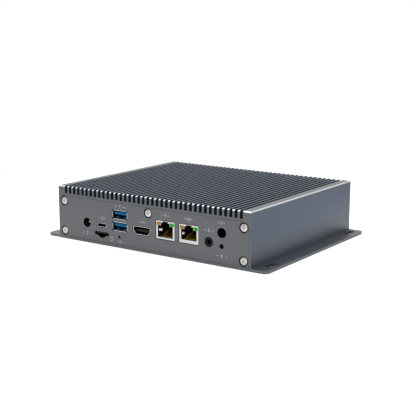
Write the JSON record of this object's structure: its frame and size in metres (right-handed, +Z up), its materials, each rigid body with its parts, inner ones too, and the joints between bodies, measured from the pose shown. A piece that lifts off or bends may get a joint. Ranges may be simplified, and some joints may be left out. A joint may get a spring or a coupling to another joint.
{
  "type": "edge ai computer",
  "caption": "Fanless compact computer: finned cover on a flanged base plate with keyholes, and a front panel of power, data, video, network and audio sockets.",
  "frame": {"origin": "middle of the footprint, on the underside of the base plate", "axes": "+X along the front from the power jack to the antenna hole, +Y from the front panel to the rear panel, +Z up to the fins"},
  "size_m": [0.191, 0.1416, 0.0393],
  "materials": {
    "anodised_grey": "satin slate-grey anodising",
    "bare_aluminium": "milled",
    "nickel_steel": "bright nickel plating",
    "tinned_sheet": "tinned sheet",
    "black_moulding": "fine matt",
    "blue_moulding": "satin",
    "amber_lens": "clear tinted",
    "green_lens": "clear tinted",
    "dark_lens": "smoked",
    "gold_contact": "gold plated",
    "circuit_board": "green solder mask",
    "chip_package": "moulded",
    "thermal_pad": "soft"
  },
  "bodies": {
    "root": {"heatsink_cover": "anodised_grey", "base_plate": "anodised_grey", "front_panel": "anodised_grey", "rear_panel": "anodised_grey", "front_panel_screws": "nickel_steel", "rear_panel_screws": "nickel_steel", "base_screws": "nickel_steel", "power_jack_body": "black_moulding", "power_jack_pin": "nickel_steel", "small_socket_shell": "tinned_sheet", "small_socket_moulding": "black_moulding", "card_socket_base": "black_moulding", "card_socket_cover": "tinned_sheet", "data_socket_shield": "tinned_sheet", "data_socket_housing": "black_moulding", "data_socket_tongue_lower": "blue_moulding", "data_socket_tongue_upper": "blue_moulding", "video_socket_shell": "tinned_sheet", "video_socket_moulding": "black_moulding", "network_socket_1_shield": "tinned_sheet", "network_socket_1_housing": "black_moulding", "network_socket_1_contacts": "gold_contact", "network_socket_1_amber_light": "amber_lens", "network_socket_1_green_light": "green_lens", "network_socket_2_shield": "tinned_sheet", "network_socket_2_housing": "black_moulding", "network_socket_2_contacts": "gold_contact", "network_socket_2_amber_light": "amber_lens", "network_socket_2_green_light": "green_lens", "audio_socket": "black_moulding", "power_light_lens": "dark_lens", "power_light_holder": "black_moulding", "recovery_switch_body": "black_moulding", "main_board": "circuit_board", "board_standoffs": "nickel_steel", "board_screws": "nickel_steel", "module_socket": "black_moulding", "module_board": "circuit_board", "module_standoffs": "nickel_steel", "processor": "chip_package", "memory_chips": "chip_package", "processor_pad": "thermal_pad", "heat_block": "bare_aluminium", "heat_block_screws": "nickel_steel", "cover_pad": "thermal_pad", "network_transformers": "chip_package", "power_inductors": "chip_package", "power_capacitors": "bare_aluminium", "clock_cell": "nickel_steel", "clock_cell_holder": "black_moulding", "radio_card_socket": "black_moulding", "radio_card_post": "nickel_steel"},
    "recovery_button": {"recovery_button": "black_moulding"}
  },
  "joints": [
    {"name": "recovery_press", "type": "slide", "parent": "root", "child": "recovery_button", "axis": [0, 1, 0], "range_m": [0, 0.00025], "stiffness_N_per_m": 400}
  ]
}
